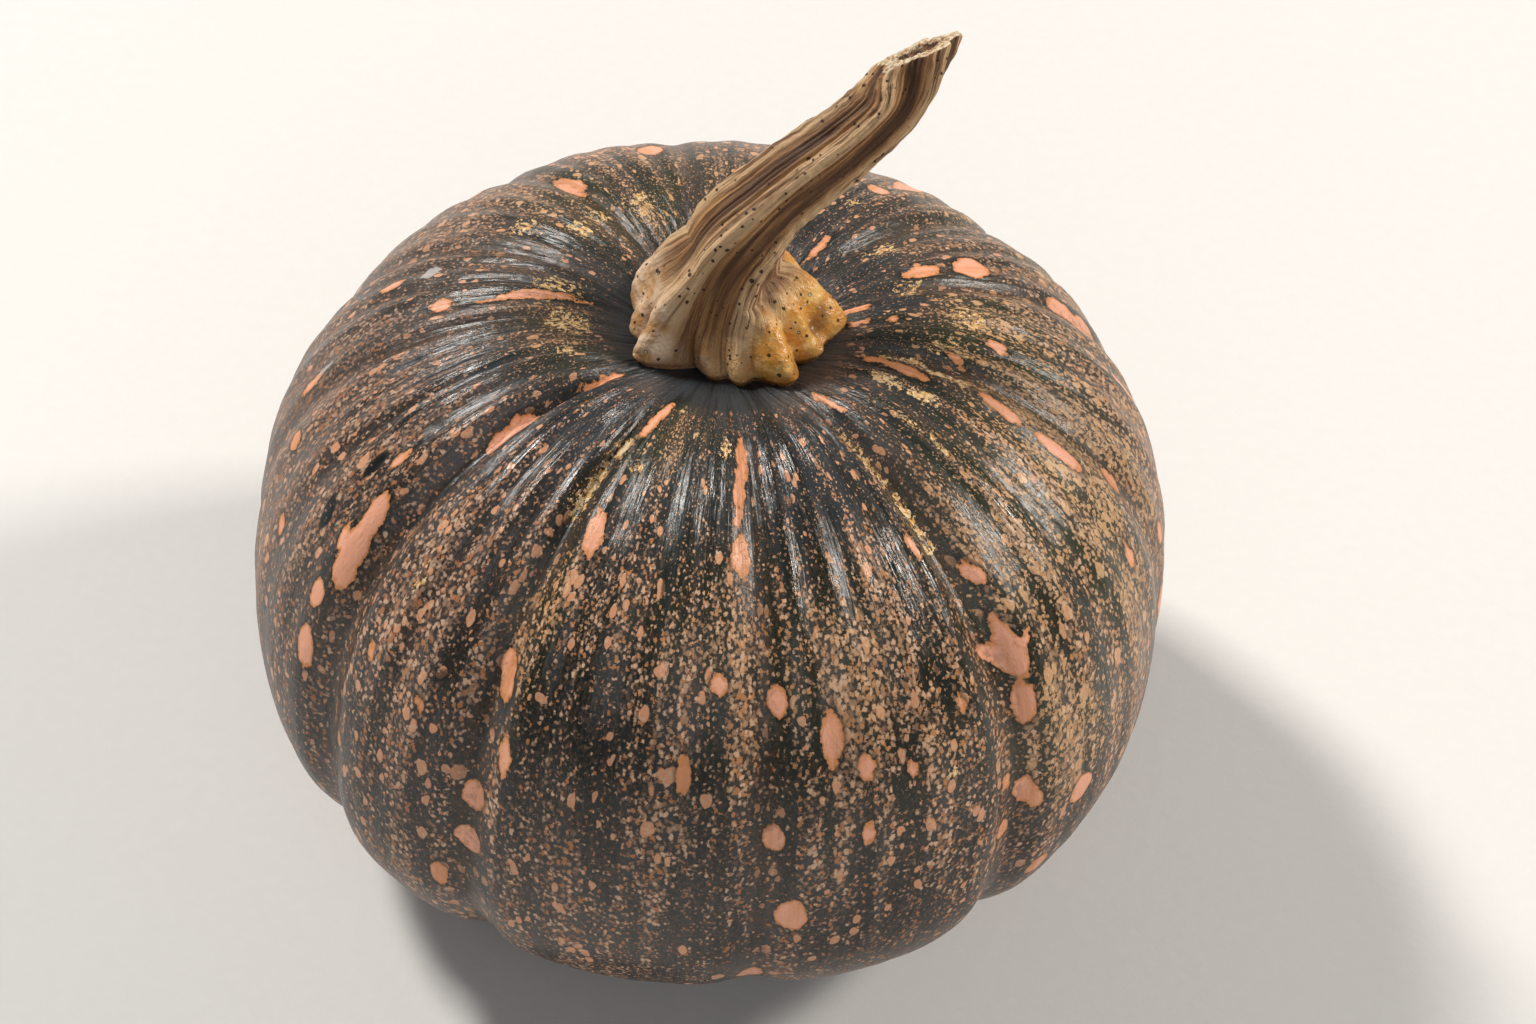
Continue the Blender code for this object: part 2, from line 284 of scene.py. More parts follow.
def skinAt(angle, distance, detailed=True):
    # radius and height of the skin, and how much of it is furrow, fine rib and sharp rib
    shape = fruitShape
    radius, height, outRadius, outHeight = outlineAt(distance)
    radius = radius * (1 + shape["oval"][0] * np.cos(2 * np.radians(angle - shape["oval"][1])))
    turn = np.radians(angle)
    spots = np.stack((radius * np.sin(turn), -radius * np.cos(turn), height), 1)
    across, depth, away = lobeAt(angle)
    strength = eased(distance, *shape["ribsBegin"]) * (1 - eased(distance, *shape["ribsEnd"]))
    fine = strength * (1 - eased(distance, *shape["fineRibsEnd"]))
    fine *= shape["fineRibsAtBack"] + (1 - shape["fineRibsAtBack"]) * (0.5 + 0.5 * np.cos(turn))
    swell = shape["lobeSwell"] * np.sin(math.pi * across) ** shape["lobeFullness"]
    furrow = np.exp(-(away / shape["furrowHalfWidth"]) ** 2)
    ribPlace = across
    ribLevel = 1.0
    sharp = np.zeros(len(angle))
    if detailed:
        size, squash = shape["drift"]
        drift = roughness3d(spots * (1, 1, squash), size, 1)
        ribPlace = across + drift * shape["wander"]
        change, size, squash = shape["ribLevel"]
        ribLevel = 1 + change * roughness3d(spots * (1, 1, squash) + 0.3, size, 1)
    crest = 0.5 - 0.5 * np.cos(2 * math.pi * shape["fineRibsPerLobe"] * ribPlace)
    uneven = shape["uneven"][0] * np.array([noise.noise(Vector(s) / shape["uneven"][1]) for s in spots])
    rise = strength * (swell - depth * furrow + uneven) + fine * shape["fineRibHeight"] * crest * ribLevel
    if detailed:
        tall, pitch, sway = shape["wrinkles"]
        seat = eased(distance, *shape["wrinklesBegin"]) * (1 - eased(distance, *shape["wrinklesEnd"]))
        rise += seat * tall * np.sin(2 * math.pi * (angle + sway * drift) / pitch)
        down = distance * 1000
        before, past, near, beyond = shape["ribEnds"]
        hollow, spread = shape["ribHollow"]
        for place, start, end, tall, halfWidth in shape["sharpRibs"]:
            along = eased(down, start - before, start + past) * (1 - eased(down, end - near, end + beyond))
            side = np.abs(turnedBy(angle + shape["ribSway"] * drift, place)) / halfWidth
            rise += along * tall / 1000 * (np.exp(-side**1.5) - hollow * np.exp(-(side / spread) ** 2))
            sharp = np.maximum(sharp, along * min(tall, 1) * np.exp(-(side / shape["glossWidth"]) ** 2))
        deep, size, squash = shape["pits"]
        rise += strength * deep * (roughness3d(spots * (1, 1, squash), size, 2) - shape["pitsBelow"])
    radius = np.maximum(radius + rise * outRadius, 0)
    height = np.maximum(height + rise * outHeight, shape["restCut"]) - shape["restCut"]
    return radius, height, furrow * strength, crest * fine, sharp


# the big pale blotches: angle at the top and at the bottom, from and to in millimetres, width in degrees
blotches = (
    (-52.2, -51.8, 51, 66, 4.2), (-57.4, -56, 89, 104, 2.9), (-56.8, -55.8, 97, 115, 3.5),
    (-58.8, -58.2, 101, 109, 1.8), (-80.5, -80.5, 107, 112, 3), (-58, -58, 116, 124, 2.5),
    (-57.5, -57, 129, 141, 3), (-61, -61, 80, 85, 1.5), (-89.5, -89, 100, 108, 2),
    (-52, -53, 28, 40, 2), (-21.5, -19.8, 63, 75, 3.6), (-21, -21.8, 28, 46, 3.6),
    (-26.5, -24.5, 99, 112, 2.6), (-23, -22.5, 117, 129, 1.8), (-0.2, -0.2, 112, 122, 2),
    (3.5, 3.4, 94, 99, 2.4), (9.2, 8, 37, 51, 3.4), (8.2, 6.4, 43, 62, 2.6), (7, 7, 64, 74, 3.8),
    (11.5, 11.5, 97, 104, 2.8), (10.5, 11.2, 129, 138, 2.6), (18.2, 18, 103, 116, 3),
    (22, 22, 114, 121, 2.3), (22, 22, 130, 137, 2), (38.2, 38.8, 71, 79, 1.3),
    (45.6, 46.6, 81, 90, 2.4), (45.8, 46, 96, 108, 2.5), (42.2, 45.4, 101, 108, 3),
    (49.6, 45.8, 102.2, 108, 2.2), (44.6, 46.6, 102, 113, 3.4), (45.8, 45.4, 113, 124, 2.9),
    (45.5, 46.5, 144, 151, 2.4), (42, 42, 135, 142, 2), (54.5, 54.5, 151, 160, 4.4),
    (47.8, 47.6, 29.5, 39, 2.8), (77.4, 74, 32, 49, 3.2), (77.4, 75.4, 60, 72, 2.6),
    (75.8, 76.2, 76.5, 91, 2.8), (73.8, 73.2, 110, 118, 1.9), (-96.5, -92.5, 33, 57, 2.7),
    (-93, -93, 63, 69, 3), (-103.5, -102.5, 80, 88, 3), (-141, -141, 58, 73, 4.5),
    (-162, -162, 70, 80, 5), (118, 118, 46, 56, 4.2), (118, 118, 60, 70, 6),
    (113.5, 113.5, 86, 98, 3.4), (102, 102, 100, 113, 2.4), (145, 145, 31, 41, 2.5),
    (150, 150, 66, 72, 5), (149, 150, 77, 93, 5), (99, 99, 29, 35, 2), (98, 98, 37.5, 40.5, 1.8),
    (108, 107, 27, 35, 1.9), (86, 84, 52, 56, 2.2), (93, 92, 60, 66, 3), (-72, -71, 118, 124, 2),
    (-36, -35, 118, 124, 1.6), (-45.5, -45, 116, 121, 1.5), (28, 28, 118, 123, 1.6),
    (36, 36, 108, 113, 1.5),
)

hiddenBlotches = {
    "seed": 12,
    "front": (-15, 95),  # middle and half width of the side with the blotches listed above, degrees
    "from": (142, 100),  # where the drawn ones begin on that side and behind it, millimetres
    "to": 236,
    "apart": 16,
    "share": 0.62,
    "shift": 5,
    "length": (5, 15),
    "offFurrow": (2, 3.5),  # usual turn from the furrow, and its spread
    "lean": 1.2,
    "width": (1.8, 4.2),
}


def drawnPatch(pick, draw, top, middle, long):
    bottom = top + pick.uniform(-draw["lean"], draw["lean"])
    return top, bottom, middle - long / 2, middle + long / 2, pick.uniform(*draw["width"])


def moreBlotches():  # on the back and the underside, along the furrows like the others
    draw = hiddenBlotches
    pick = random.Random(draw["seed"])
    made = []
    for place, _ in fruitShape["furrows"]:
        behind = abs(turnedBy(place, draw["front"][0])) > draw["front"][1]
        for start in range(draw["from"][behind], draw["to"], draw["apart"]):
            if pick.random() < draw["share"]:
                middle = start + pick.uniform(-draw["shift"], draw["shift"])
                long = pick.uniform(*draw["length"])
                top = place + pick.gauss(*draw["offFurrow"])
                made.append(drawnPatch(pick, draw, top, middle, long))
    return tuple(made)


# small patches and lanes of bare dark skin, written like the blotches
darkPatches = (
    (-52, -52, 56, 96, 2), (-27, -27, 62, 88, 1.6), (-5.5, -5.5, 48, 88, 2.2), (42.5, 42, 36, 78, 1.5),
    (60, 60, 60, 74, 1.8), (60.5, 60.5, 79, 85, 1.5), (-63.5, -63, 84, 94, 1.4),
    (-64.5, -63, 100, 109, 1.9), (60.5, 60.5, 103, 110, 1.7), (67.5, 68, 104, 109, 1.1),
    (72.5, 72.5, 90, 95, 1.6), (-38, -37, 36, 60, 2.4), (-45, -44, 28, 62, 3.2), (-33, -33, 30, 52, 2),
    (14.5, 14.5, 58, 78, 1.1), (24, 24, 62, 86, 1.3), (-1, -1, 30, 40, 5), (31, 31, 40, 66, 1.6),
    (52, 53, 48, 60, 1.4), (-70, -69, 46, 60, 1.3), (-118, -119, 40, 62, 2.6), (-128, -128, 36, 52, 3),
    (90, 90, 30, 44, 4), (105, 106, 34, 50, 3), (125, 126, 30, 48, 4), (160, 161, 30, 46, 4),
    (33.5, 33, 70, 84, 1.2), (-80, -79.5, 46, 82, 1.2), (-74, -73.6, 46, 78, 1),
    (-68, -67.5, 50, 76, 1), (-61.5, -61, 44, 84, 1.1), (54.6, 54.6, 44, 78, 1.2),
    (64.5, 64.5, 46, 72, 1.2), (18.2, 18.4, 40, 76, 1), (24.4, 24.6, 38, 62, 1),
    (37, 37, 44, 74, 1),
)

strayLanes = {
    "seed": 5,
    "count": 110,
    "middle": (60, 230),
    "length": (4, 10),
    "lean": 1,
    "width": (0.9, 1.7),
}


def moreDarkPatches():  # all round
    draw = strayLanes
    pick = random.Random(draw["seed"])
    made = []
    for _ in range(draw["count"]):
        top = pick.uniform(-180, 180)
        middle = pick.uniform(*draw["middle"])
        long = pick.uniform(*draw["length"])
        made.append(drawnPatch(pick, draw, top, middle, long))
    return tuple(made)


patchShape = {
    "thinnest": 0.0008,  # least half width, metres
    "longFrom": 3,  # a patch this many times longer than wide has blunt ends
    "pointed": 1.6,
    "blunt": 2.5,
    "farOutside": -9.0,  # millimetres
}


def patchField(patches, angle, distance):
    # millimetres inside the nearest patch's edge, or outside it if below zero
    shape = patchShape
    radius = np.interp(distance, outlineDown, outlineRadius)
    field = np.full(len(angle), shape["farOutside"])
    for top, bottom, start, end, width in patches:
        middle, half = (start + end) / 2000, (end - start) / 2000
        girth = np.interp(middle, outlineDown, outlineRadius)
        side = max(math.radians(width) * girth / 2, shape["thinnest"])
        along = (distance - middle) / half
        across = np.radians(turnedBy(angle, (top + bottom) / 2 + (bottom - top) / 2 * along)) * radius
        ends = shape["pointed"] if half < shape["longFrom"] * side else shape["blunt"]
        reach = (np.abs(along) ** ends + (across / side) ** 2) ** (1 / 2)
        field = np.maximum(field, (1 - reach) * side * 1000)
    return field


# corky golden crusts on the rib crests: angle, from and to in millimetres, width in degrees, strength
crusts = (
    (-26.8, 50, 68, 3.2, 1.15), (-25, 43, 50, 4.4, 1.6), (42.6, 38, 60, 2.8, 1.1),
    (42.8, 58, 80, 2.2, 1), (68, 37, 45, 5, 1.15), (67.5, 45, 54, 3.6, 1), (80, 36, 48, 4, 1.15),
    (77.5, 46, 58, 2.6, 1), (57, 42, 66, 2, 0.7), (-84, 31, 43, 14, 0.85),
    (-100, 34, 46, 12, 0.8), (-68, 36, 42, 5, 0.7), (4, 38, 46, 4, 0.85), (-15, 30, 33, 3, 0.9),
    (-6, 37, 41, 2.4, 0.9), (-18, 50, 54, 3, 0.75), (-128, 42, 50, 6, 0.95),
    (-137, 44, 50, 5, 0.95), (-121, 52, 62, 6, 0.75), (-150, 38, 52, 10, 0.7),
    (88, 46, 58, 7, 0.75), (99, 52, 62, 7, 0.8), (112, 42, 50, 6, 0.7), (130, 40, 52, 6, 0.7),
    (165, 40, 54, 6, 0.65), (150, 52, 60, 5, 0.65), (-43, 88, 104, 2, 0.6),
    (33, 120, 132, 1.6, 0.55),
)

# broad zones of colour: angle and half width in degrees, middle and half length in millimetres, strength
oliveZones = (
    (72, 30, 92, 48, 1), (92, 30, 62, 28, 0.9), (-150, 34, 52, 28, 0.9), (-12, 13, 42, 14, 0.75),
    (54, 12, 128, 24, 0.9), (130, 34, 100, 50, 0.75), (-80, 24, 40, 12, 0.7), (-120, 18, 150, 30, 0.4),
    (22, 24, 100, 30, 0.45), (5, 18, 86, 24, 0.35), (60, 12, 66, 20, 0.5), (-24, 5, 88, 24, 0.5),
)
# zones of waxy bloom with painted sheen: mauve ground and grains there, denser and a little duller
hazeBloomAndSheenZones = (
    (-92, 36, 122, 66, 1), (-78, 24, 70, 28, 0.9), (92, 20, 150, 46, 0.6), (70, 34, 27, 6, 1),
    (84, 10, 76, 18, 0.7), (-140, 30, 120, 50, 0.5), (175, 30, 140, 50, 0.5), (-42, 14, 92, 34, 0.45),
    (-108, 16, 60, 24, 0.7), (-20, 70, 190, 30, 0.35), (-38, 8, 27, 5, 0.8), (34, 8, 28, 5, 0.6),
    (122, 28, 72, 30, 0.75), (-112, 30, 84, 34, 0.8), (-172, 30, 80, 30, 0.6), (50, 17, 64, 24, 0.5),
)

# pale scratches, written like the crusts
scratches = ((-104.5, 71.5, 76, 4.2, 1), (-90, 96, 103, 0.7, 1), (-83, 76, 81, 0.5, 1), (62, 74, 79, 0.5, 1))


def zoneField(zones, angle, distance):
    field = np.zeros(len(angle))
    for place, wide, middle, long, strength in zones:
        reach = (turnedBy(angle, place) / wide) ** 2 + ((distance * 1000 - middle) / long) ** 2
        field = np.maximum(field, strength * np.exp(-reach))
    return field


def streakField(streaks, angle, distance):
    field = np.zeros(len(angle))
    for place, start, end, width, strength in streaks:
        middle, half = (start + end) / 2, (end - start) / 2
        side = (turnedBy(angle, place) / (width * 0.6)) ** 2
        along = ((distance * 1000 - middle) / half) ** 4
        field = np.maximum(field, strength * np.exp(-side - along))
    return field


def placeFruit(angles, ring):
    share = ring / fruitShape["rings"]
    crowded = share - fruitShape["ringCrowding"] * np.sin(2 * math.pi * share) / (2 * math.pi)
    distance = outlineLength * crowded
    radius, height, furrow, crest, sharp = skinAt(angles, distance)
    turn = np.radians(angles)
    places = np.stack((radius * np.sin(turn), -radius * np.cos(turn), height), 1)
    girth = fruitShape["bodyRadius"]
    fields = {
        "skinPlace": np.stack((girth * np.sin(turn), -girth * np.cos(turn),
                               np.interp(distance, outlineDown, patternDown)), 1),
        "down": distance * 1000,
        "furrow": furrow,
        "crest": crest,
        "sharp": sharp,
        "blotch": patchField(blotches + moreBlotches(), angles, distance),
        "dark": patchField(darkPatches + moreDarkPatches(), angles, distance),
        "crust": streakField(crusts, angles, distance),
        "olive": zoneField(oliveZones, angles, distance),
        "hazeBloomAndSheen": zoneField(hazeBloomAndSheenZones, angles, distance),
        "scratch": streakField(scratches, angles, distance),
    }
    return places, fields


# the rind's finish

rindLook = {
    "deep": (0.004, 0.0066, 0.0044),  # nearly black green
    "slateBloomAndSheen": (0.029, 0.0375, 0.044),  # bluish waxy bloom between the flecks, with painted sheen
    # mauve: waxy bloom with painted sheen
    "mauveBloomAndSheen": (0.112, 0.084, 0.072),
    "oliveDark": (0.088, 0.056, 0.024),
    "leaf": (0.034, 0.039, 0.012),
    "netDim": (0.095, 0.05, 0.03),
    "netTan": (0.33, 0.198, 0.12),
    "netPale": (0.6, 0.395, 0.26),
    "netRust": (0.4, 0.15, 0.048),
    "netGold": (0.56, 0.325, 0.135),
    "fleck": (0.66, 0.3, 0.15),
    "blotch": (0.8, 0.375, 0.235),
    "blotchEdge": (0.58, 0.225, 0.07),
    "crustDark": (0.11, 0.045, 0.012),
    "crustGold": (0.66, 0.35, 0.08),
    "crustPale": (0.86, 0.66, 0.4),
    "scar": (0.47, 0.455, 0.445),
    "cork": (0.33, 0.235, 0.15),
    "netSize": 0.00118,
    "netCover": 0.53,
    "netSquash": 0.74,  # below 1 the grains are longer along the meridians
    "fleckSquash": 0.62,
    "fleckLayers": ((0.0064, 0.28, 0.245), (0.0038, 0.15, 0.32)),  # cell size, share without, largest radius
    # sizes of the finer changes, metres
    "grit": 0.001,
    "dust": 0.0008,
    "crumbs": 0.0021,
    "dents": 0.003,
    "fineLanes": 0.0024,
    "lanes": 0.007,
    "waves": 0.0052,
    "clouds": 0.022,
    # where both ends differ: begins and is full, millimetres down from the seat
    "nearStem": (88.0, 40.0),
    "belowSeat": (25.0, 33.0),
    "blossomEnd": (292.0, 303.0),
    "roughness": 0.17,
    "offRibs": 0.14,  # how much duller the skin is away from its sharp ribs
    "bump": (0.00032, 0.9),  # height and strength
    "specular": 0.42,
}


def makeRind():
    look = rindLook
    rind = Recipe("rind")
    place = rind.field("skinPlace", "Vector")
    down = rind.field("down")
    furrow = rind.field("furrow")
    sharp = rind.field("sharp")
    crustField = rind.field("crust")
    grit = rind.noise(place, look["grit"], 3.0, 0.65)
    bare = rind.step(rind.sum(rind.field("dark"), grit), 0.25, 0.7)

    # slow changes: lanes that run along the meridians, and cloudy patches
    lanes = rind.noise(rind.squashed(place, 0.1), look["lanes"], 3.0, 0.6)
    fineLanes = rind.noise(rind.squashed(place, 0.06), look["fineLanes"], 3.0, 0.6)
    clouds = rind.noise(rind.squashed(place, 0.5), look["clouds"], 3.0, 0.6)
    nearStem = rind.step(down, *look["nearStem"])
    belowSeat = rind.step(down, *look["belowSeat"])
    blossomEnd = rind.step(down, *look["blossomEnd"])

    # bloom with painted sheen: bluish slate in cloudy patches, in fine lanes along the meridians and near
    # the stem
    slateBloomAndSheenShare = rind.times(rind.step(clouds, 0.38, 0.64), rind.step(lanes, 0.4, 0.62))
    ground = rind.mix(slateBloomAndSheenShare, look["deep"], look["slateBloomAndSheen"])
    ground = rind.mix(rind.times(rind.step(fineLanes, 0.52, 0.7), 0.45), ground, look["slateBloomAndSheen"])
    ground = rind.mix(rind.times(nearStem, rind.step(lanes, 0.36, 0.56, 0.3, 0.85)), ground, look["slateBloomAndSheen"])
    dust = rind.noise(rind.squashed(place, 0.7), look["dust"], 2.0, 0.6)
    dust = rind.times(rind.step(dust, 0.47, 0.62), rind.rest(bare), rind.rest(rind.times(nearStem, 0.7)))
    ground = rind.mix(rind.times(dust, 0.5), ground, look["netDim"])
    # bloom with painted sheen: the ground and the grains turn mauve in the haze zones
    hazeBloomAndSheen = rind.times(rind.field("hazeBloomAndSheen"), rind.step(lanes, 0.28, 0.6, 0.45, 1.0), rind.rest(bare))
    ground = rind.mix(rind.times(hazeBloomAndSheen, rind.step(grit, 0.3, 0.62, 0.35, 1.0)), ground, look["mauveBloomAndSheen"])
    olive = rind.times(rind.field("olive"), rind.step(clouds, 0.3, 0.58, 0.35, 1.0))
    oliveTone = rind.mix(rind.step(lanes, 0.42, 0.6), look["leaf"], look["oliveDark"])
    ground = rind.mix(rind.times(olive, 0.75), ground, oliveTone)

    # the fine net: ragged grains that run together where they are dense
    netPlace = rind.shaken(rind.squashed(place, look["netSquash"]), 0.002, 0.0012)
    netDistance, netPick, netOther = rind.cells(netPlace, look["netSize"])
    cover = rind.sum(look["netCover"], rind.times(olive, 0.3), rind.times(hazeBloomAndSheen, 0.34))
    cover = rind.sum(cover, rind.swing(lanes, 2.2), rind.swing(fineLanes, 1.2))
    thinned = rind.sum(rind.times(nearStem, 0.52), rind.times(furrow, 0.22), rind.times(bare, 0.9))
    cover = rind.sum(rind.less(cover, thinned), rind.swing(rind.field("crest"), 0.16))
    limit = rind.step(cover, 0.0, 1.0, 0.37, 0.135)
    grain = rind.less(grit, rind.times(netDistance, 0.55), limit)
    netShare = rind.times(rind.step(grain, -0.015, 0.035), belowSeat)
    netLevel = rind.sum(rind.times(netPick, 0.75), rind.step(grain, 0.0, 0.2, 0.0, 0.45))
    netTone = rind.mix(rind.step(netLevel, 0.2, 0.85), look["netDim"], look["netTan"])
    netTone = rind.mix(rind.step(netOther, 0.66, 0.86), netTone, look["netRust"])
    netTone = rind.mix(rind.step(netLevel, 0.72, 1.1), netTone, look["netPale"])
    golden = rind.times(olive, rind.step(netOther, 0.2, 0.6, 0.3, 0.85))
    netTone = rind.mix(golden, netTone, look["netGold"])
    netTone = rind.mix(rind.times(hazeBloomAndSheen, 0.45), netTone, look["mauveBloomAndSheen"])
    colour = rind.mix(netShare, ground, netTone)

    # larger flecks, longer along the meridians
    fleckPlace = rind.shaken(rind.squashed(place, look["fleckSquash"]), 0.006, 0.0036)
    fleckPlace = rind.shaken(fleckPlace, 0.0014, 0.0009)
    layers = []
    for size, without, widest in look["fleckLayers"]:
        fleckDistance, _, fleckPick = rind.cells(fleckPlace, size)
        reach = rind.step(fleckPick, without, 1.0, 0.0, widest)
        layers.append(rind.step(rind.less(reach, fleckDistance), -0.015, 0.03))
    flecks = rind.times(rind.most(*layers), belowSeat, rind.rest(rind.times(furrow, 0.4)))
    flecks = rind.times(flecks, rind.rest(rind.times(bare, 0.8)))
    fleckTone = rind.mix(rind.step(olive, 0.15, 0.75), look["fleck"], look["netGold"])
    fleckTone = rind.mix(rind.step(grit, 0.48, 0.66), fleckTone, look["netPale"])
    colour = rind.mix(rind.times(flecks, 0.9), colour, fleckTone)

    # golden crusts, broken up and grainy
    crumbs = rind.noise(rind.squashed(place, 0.8), look["crumbs"], 4.0, 0.7)
    crust = rind.step(rind.less(crustField, rind.step(crumbs, 0.32, 0.64, 0.15, 1.1)), -0.03, 0.08)
    crustTone = rind.mix(rind.step(crumbs, 0.46, 0.6), look["crustGold"], look["crustDark"])
    crustTone = rind.mix(rind.step(grit, 0.44, 0.56), crustTone, look["crustPale"])
    crustTone = rind.mix(rind.step(crustField, 1.05, 1.45), crustTone, look["crustPale"])  # the thickest
    colour = rind.mix(crust, colour, crustTone)

    # big blotches with ragged edges
    waves = rind.noise(place, look["waves"], 2.0, 0.6)
    blotchDepth = rind.sum(rind.field("blotch"), rind.swing(waves, 2.2), rind.swing(grit, 0.8))
    blotch = rind.step(blotchDepth, -0.1, 0.12)
    halo = rind.times(rind.step(blotchDepth, -1.1, -0.1), rind.rest(blotch), 0.65)
    colour = rind.mix(halo, colour, look["deep"])
    blotchTone = rind.mix(rind.step(blotchDepth, 0.7, 0.05), look["blotch"], look["blotchEdge"])
    blotchTone = rind.mix(rind.times(rind.step(lanes, 0.46, 0.66), 0.7), blotchTone, look["blotchEdge"])
    blotchTone = rind.mix(rind.times(rind.step(grit, 0.56, 0.76), 0.5), blotchTone, look["netPale"])
    colour = rind.mix(blotch, colour, blotchTone)

    # scratches, and the corky scar at the blossom end
    scratch = rind.step(rind.less(rind.field("scratch"), rind.times(crumbs, 0.9)), -0.05, 0.15)
    colour = rind.mix(rind.times(scratch, 0.75), colour, look["scar"])
    colour = rind.mix(blossomEnd, colour, look["cork"])
    # the deepest furrow lines darker brown, broken up by the crumbs
    darkerInFurrows = rind.times(rind.step(furrow, 0.6, 1.0), rind.step(crumbs, 0.46, 0.64), 0.4)
    colour = rind.mix(darkerInFurrows, colour, look["crustDark"])

    # gloss and fine relief
    dull = rind.most(rind.times(crust, 0.6), blossomEnd, rind.times(scratch, 0.8))
    satin = rind.sum(look["roughness"], rind.swing(clouds, 0.16), rind.times(netShare, 0.12))
    satin = rind.sum(satin, rind.times(rind.rest(sharp), look["offRibs"]))
    roughness = rind.sum(satin, rind.times(dull, 0.4), rind.times(hazeBloomAndSheen, 0.08), rind.times(blotch, 0.08))
    ribbing = rind.times(fineLanes, rind.step(down, 120.0, 60.0, 1.0, 1.6), rind.sum(0.65, sharp))
    dents = rind.noise(rind.squashed(place, 0.5), look["dents"], 1.0, 0.5)
    raised = rind.sum(rind.times(netShare, 0.22), rind.times(grit, 0.24), rind.times(dents, 0.9), ribbing)
    crusty = rind.times(crust, rind.sum(0.8, rind.times(grit, 2.0)))
    raised = rind.sum(raised, crusty, rind.times(flecks, 0.2))
    raised = rind.less(raised, rind.times(blotch, 0.25))
    return rind.finish(colour, roughness, rind.bump(raised, *look["bump"]), look["specular"])


fruit = wrappedSphere("fruitSkin", fruitShape["segments"], fruitShape["rings"], placeFruit)
fruit.data.materials.append(makeRind())
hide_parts("fruit")
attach(fruit, "root")
print("fruit made:", len(fruit.data.polygons), "faces")


# the stalk's shape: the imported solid's line, girth, ridges and toes, with fibres, warts and a chewed cut

stalkShape = {
    "seatCentre": (0.002, 0.003),
    "seatSteps": 600,  # of the outline, from its middle outwards
    "sunkInSkin": 0.0003,
    "handles": ((-0.0125, 0.002, 0.0475), (0.0265, 0.009, 0.0415), (0.036, 0.024, 0.069)),
    "girth": ((0, 0.013), (0.24, 0.0104), (0.5, 0.0081), (0.8, 0.007), (1, 0.0067)),
    "ridges": 5,
    "ridge": (0.002, 1.6, 0.35),  # height, sharpness, share below the middle
    "ridgeStart": -57,
    "ridgeTurn": (40, 0.45),
    "ridgeBackTurn": (30, 0.82),
    "cutTilt": (0.95, -0.12),
    "cutTiltReach": 0.024,
    "toes": (
        (-101, 0.0122, 26, 0.026, 0.65), (-55, 0.013, 14, 0.024, 0.95), (-17, 0.005, 16, 0.012, 0.5),
        (12, 0.0052, 14, 0.012, 0.5), (40, 0.013, 16, 0.018, 0.45), (66, 0.0106, 14, 0.02, 0.45),
        (92, 0.0125, 25, 0.021, 0.42), (-77, 0.0118, 15, 0.023, 0.8), (130, 0.0105, 19, 0.023, 0.5),
        (171, 0.0095, 21, 0.017, 0.65), (-143, 0.0105, 20, 0.021, 0.75),
    ),
    "toeBlend": 3.5,  # how sharply one toe ends against the next
    "footTop": 0.3,
    "footCrowding": 1.5,  # rings lie closer together low on the foot
    "footRounding": 0.0024,
    "footTuck": 0.1,
    "segments": 256,
    "cutRings": 42,
    "shaftRings": 140,
    "footRings": 84,
    "seatRings": 10,
    "noiseRadius": 0.012,  # how far out the noises are read, on the shaft, then on the foot
    "footNoiseRadius": 0.02,
    "patternRadius": 0.01,
    "knobs": (0.00015, 0.006),  # height and size
    "nicks": (0.00028, 0.0026),
    "fibres": (0.00024, 36),  # height and number round the stalk
    "sideRidges": (0.0007, 2.2, 0.12),  # height, turn from the main ridges in radians, width
    "lumps": (0.0013, 0.0072),  # height and size, on the swellings of the foot
    "warts": (0.0003, 0.0019),
    "pithDepth": 0.0016,
    "pores": (0.0007, 0.0012),  # in the pith: height and size
    "chew": (0.0006, 0.005),  # height and size of the rim's waves
    "notch": (0.0016, -60, 11),  # depth, angle and half width
    "rimDrop": 0.0001,
    "rimCrease": 0.0004,
    "bluntTip": 0.0064,  # the cut's highest corner is broken off above this
    "goldenToes": (-28, 24, 140, 25),  # from and to, each with its fading, degrees
}


def seatHeight(x, y):
    radius = np.hypot(x, y)
    steps = stalkShape["seatSteps"]
    distance = np.interp(radius, outlineRadius[:steps], outlineDown[:steps])
    turn = np.degrees(np.arctan2(x, -y))
    return skinAt(turn, distance, detailed=False)[1]


def stalkLine(count=300):
    shape = stalkShape
    x, y = shape["seatCentre"]
    seat = Vector((x, y, float(seatHeight(np.array([x]), np.array([y]))[0])))
    knots = [seat] + [seat + Vector(step) for step in shape["handles"]]
    points = geometry.interpolate_bezier(*knots, count)
    rows = []
    right = Vector((1, 0, 0))
    for index, point in enumerate(points):
        along = (points[min(index + 1, count - 1)] - points[max(index - 1, 0)]).normalized()
        right = (right - right.dot(along) * along).normalized()
        rows.append((*point, *along, *right, *along.cross(right)))
    return np.array(rows)


def girthAt(share):
    girth = np.full(len(share), stalkShape["girth"][-1][1])
    for (low, thin), (high, thick) in reversed(list(zip(stalkShape["girth"], stalkShape["girth"][1:]))):
        girth = np.where(share <= high, thin + (thick - thin) * eased(share, low, high), girth)
    return girth


def ridgePhase(angle, share):
    shape = stalkShape
    turned = shape["ridgeTurn"][0] * eased(share, 0, shape["ridgeTurn"][1])
    turned -= shape["ridgeBackTurn"][0] * eased(share, shape["ridgeBackTurn"][1], 1)
    return np.radians(shape["ridges"] * (angle - shape["ridgeStart"] - turned))


def footReach(angle, rise):
    power = stalkShape["toeBlend"]
    total = np.zeros(len(angle))
    for place, length, halfWidth, height, fullness in stalkShape["toes"]:
        bulge = length * np.exp(-(turnedBy(angle, place) / halfWidth) ** 2)
        total += (bulge * np.clip(1 - rise / height, 0, 1) ** fullness) ** power
    return total ** (1 / power)


